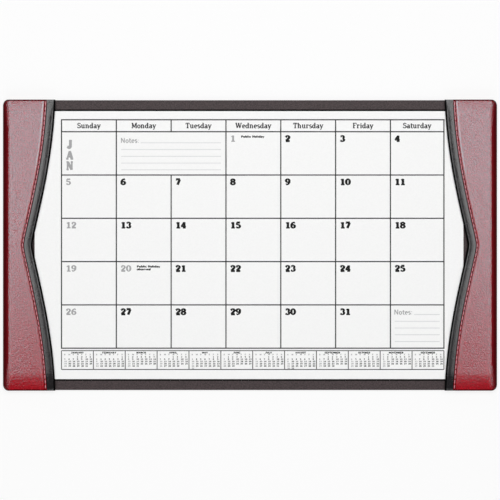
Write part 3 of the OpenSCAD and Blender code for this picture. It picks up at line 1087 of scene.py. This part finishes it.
# Month print: a ruled grid of seven days by five weeks under the weekday names, lines for
# notes in the free cells, the month's letters, and a row of twelve small months below.
black_ink, dark_ink, grey_ink, pale_ink = range(4)
grid_left = -0.3277
grid_top = 0.2191
day_w = 0.0958
saturday_w = 0.0935
head_h = 0.0209
week_h = 0.07566
weeks = 5
week_days = 7
line_w = 0.0021
day_size = 0.0106
day_inset = Vector((0.0075, 0.0066))
head_size = 0.0092
head_base = 0.0062
letter_size = 0.0145
letter_pitch = 0.0186
letter_inset = Vector((0.0143, 0.0150))
note_size = 0.0086
wide_note_inset = Vector((0.0086, 0.0194))
day_note_inset = Vector((0.0074, 0.0168))
note_hang = 0.0014
note_pitch = 0.0118
note_lines = 5
note_word_w = 0.034
note_line_w = 0.0011
holiday_size = 0.0037
holiday_pitch = 0.0048
holiday_gap = 0.0095
small_gap = 0.0043
small_h = 0.0329
small_line_w = 0.0015
small_name_size = 0.0029
small_name_base = 0.0049
small_size = 0.0023
small_first = 0.0080
small_row_h = 0.0040
small_column = 0.0074
small_inset = 0.0047
day_names = ["Sunday", "Monday", "Tuesday", "Wednesday", "Thursday", "Friday", "Saturday"]
month_names = [
    "JANUARY", "FEBRUARY", "MARCH", "APRIL", "MAY", "JUNE",
    "JULY", "AUGUST", "SEPTEMBER", "OCTOBER", "NOVEMBER", "DECEMBER",
]
month_days = [31, 29, 31, 30, 31, 30, 31, 31, 30, 31, 30, 31]
first_weekday = 3
holidays = {(1, 1): ["Public Holiday"], (1, 20): ["Public Holiday", "observed"]}
weeks_top = grid_top - head_h
grid_right = grid_left + (week_days - 1) * day_w + saturday_w
grid_foot = weeks_top - weeks * week_h


def month_start(month):
    """Weekday of the first of a month, with Sunday as 0."""
    return (first_weekday + sum(month_days[:month - 1])) % week_days


def column_line(k):
    """Place of the line on the left of a weekday's column, or on the right of the last one."""
    return min(grid_right, grid_left + k * day_w)


def cell_corner(cell):
    """Upper left corner of a day's cell, counted from the first Sunday."""
    return Vector((grid_left + cell % week_days * day_w, weeks_top - cell // week_days * week_h))


def print_small_months(bm):
    top = grid_foot - small_gap
    foot = top - small_h
    width = (grid_right - grid_left) / months
    for y in (top, foot):
        rule(bm, grid_left, y, grid_right, y, small_line_w, dark_ink)
    for k in range(months + 1):
        rule(bm, grid_left + k * width, top, grid_left + k * width, foot, small_line_w, dark_ink)
    for month in range(1, months + 1):
        left = grid_left + (month - 1) * width
        name = month_names[month - 1]
        x = left + (width - text_width(name, small_name_size, small_face)) / 2
        set_text(bm, name, x, top - small_name_base, small_name_size, small_face, black_ink)
        for day in range(week_days):
            x = left + small_inset + day * small_column
            set_text(bm, day_names[day][0], x, top - small_first, small_size, small_face, grey_ink)
        for day in range(1, month_days[month - 1] + 1):
            cell = month_start(month) + day - 1
            x = left + small_inset + cell % week_days * small_column
            y = top - small_first - (cell // week_days + 1) * small_row_h
            ink = black_ink if cell % week_days else grey_ink
            set_text(bm, str(day), x, y, small_size, small_face, ink)


def print_frame(bm):
    """What every month's sheet has alike."""
    for k, name in enumerate(day_names):
        middle = (column_line(k) + column_line(k + 1)) / 2
        x = middle - text_width(name, head_size, book_face) / 2
        set_text(bm, name, x, weeks_top + head_base, head_size, book_face, dark_ink)
    for y in [grid_top] + [weeks_top - k * week_h for k in range(weeks + 1)]:
        rule(bm, grid_left - line_w / 2, y, grid_right + line_w / 2, y, line_w, dark_ink)
    for k in range(week_days + 1):
        x = column_line(k)
        rule(bm, x, grid_top, x, weeks_top, line_w, dark_ink)
        rule(bm, x, weeks_top - week_h, x, grid_foot, line_w, dark_ink)
    print_small_months(bm)


def print_notes(bm, cell, width, inset):
    corner = cell_corner(cell)
    base = corner.y - inset.y
    left = corner.x + inset.x
    right = corner.x + width - inset.x
    set_text(bm, "Notes:", left - note_hang, base, note_size, light_face, grey_ink)
    for k in range(note_lines):
        start = left + note_word_w if k == 0 else left
        y = base - k * note_pitch
        rule(bm, start, y, right, y, note_line_w, pale_ink)


def print_month(bm, month):
    start = month_start(month)
    count = month_days[month - 1]
    free = list(range(start)) + list(range(start + count, weeks * week_days))
    letters = free.pop(0)
    corner = cell_corner(letters)
    for k, letter in enumerate(month_names[month - 1][:3]):
        x = corner.x + letter_inset.x - text_width(letter, letter_size, letter_face) / 2
        y = corner.y - letter_inset.y - letter_size - k * letter_pitch
        set_text(bm, letter, x, y, letter_size, letter_face, grey_ink)
    wide_notes = 1 in free and 2 in free
    for k in range(week_days + 1):
        if not (wide_notes and k == 2):
            x = column_line(k)
            rule(bm, x, weeks_top, x, weeks_top - week_h, line_w, dark_ink)
    if wide_notes:
        print_notes(bm, 1, 2 * day_w, wide_note_inset)
    last_cell = weeks * week_days - 1
    if last_cell in free:
        print_notes(bm, last_cell, saturday_w, day_note_inset)
    for day in range(1, count + 1):
        cell = start + day - 1
        shared = cell > last_cell
        corner = cell_corner(cell - week_days if shared else cell)
        x = corner.x + day_inset.x
        y = corner.y - day_inset.y - day_size - (week_h / 2 if shared else 0)
        holiday = holidays.get((month, day), [])
        rest_day = holiday or cell % week_days == 0
        face, ink = (plain_face, grey_ink) if rest_day else (bold_face, black_ink)
        set_text(bm, str(day), x, y, day_size, face, ink)
        x += text_width(str(day), day_size, face) + holiday_gap
        for k, line in enumerate(holiday):
            base = y + day_size - holiday_size - k * holiday_pitch
            set_text(bm, line, x, base, holiday_size, small_face, black_ink)


def printing_ink(name, dark, light):
    return mottled(name, (900, 3.0), dark, light, 0.7, 0.2)


inks = [
    printing_ink("black_ink", (0.006, 0.006, 0.006), (0.012, 0.012, 0.012)),
    printing_ink("dark_grey_ink", (0.026, 0.026, 0.028), (0.036, 0.036, 0.038)),
    printing_ink("grey_ink", (0.35, 0.35, 0.355), (0.39, 0.39, 0.395)),
    printing_ink("pale_grey_ink", (0.62, 0.62, 0.63), (0.68, 0.68, 0.69)),
]
bm = bmesh.new()
print_frame(bm)
frame_print = bpy.data.meshes.new("frame_print")
bm.to_mesh(frame_print)
bm.free()
for n in range(1, months + 1):
    sheet_low, sheet_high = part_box("month_sheet_%02d" % n)
    bm = bmesh.new()
    bm.from_mesh(frame_print)
    print_month(bm, n)
    bm.normal_update()
    face_up(bm)
    middle = (sheet_low + sheet_high) / 2
    bmesh.ops.translate(bm, vec=(middle.x, middle.y, sheet_high.z + ink_lift), verts=bm.verts)
    ink = shell("month_print_%02d" % n, bm, inks)
    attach(ink, "month_%02d" % n)
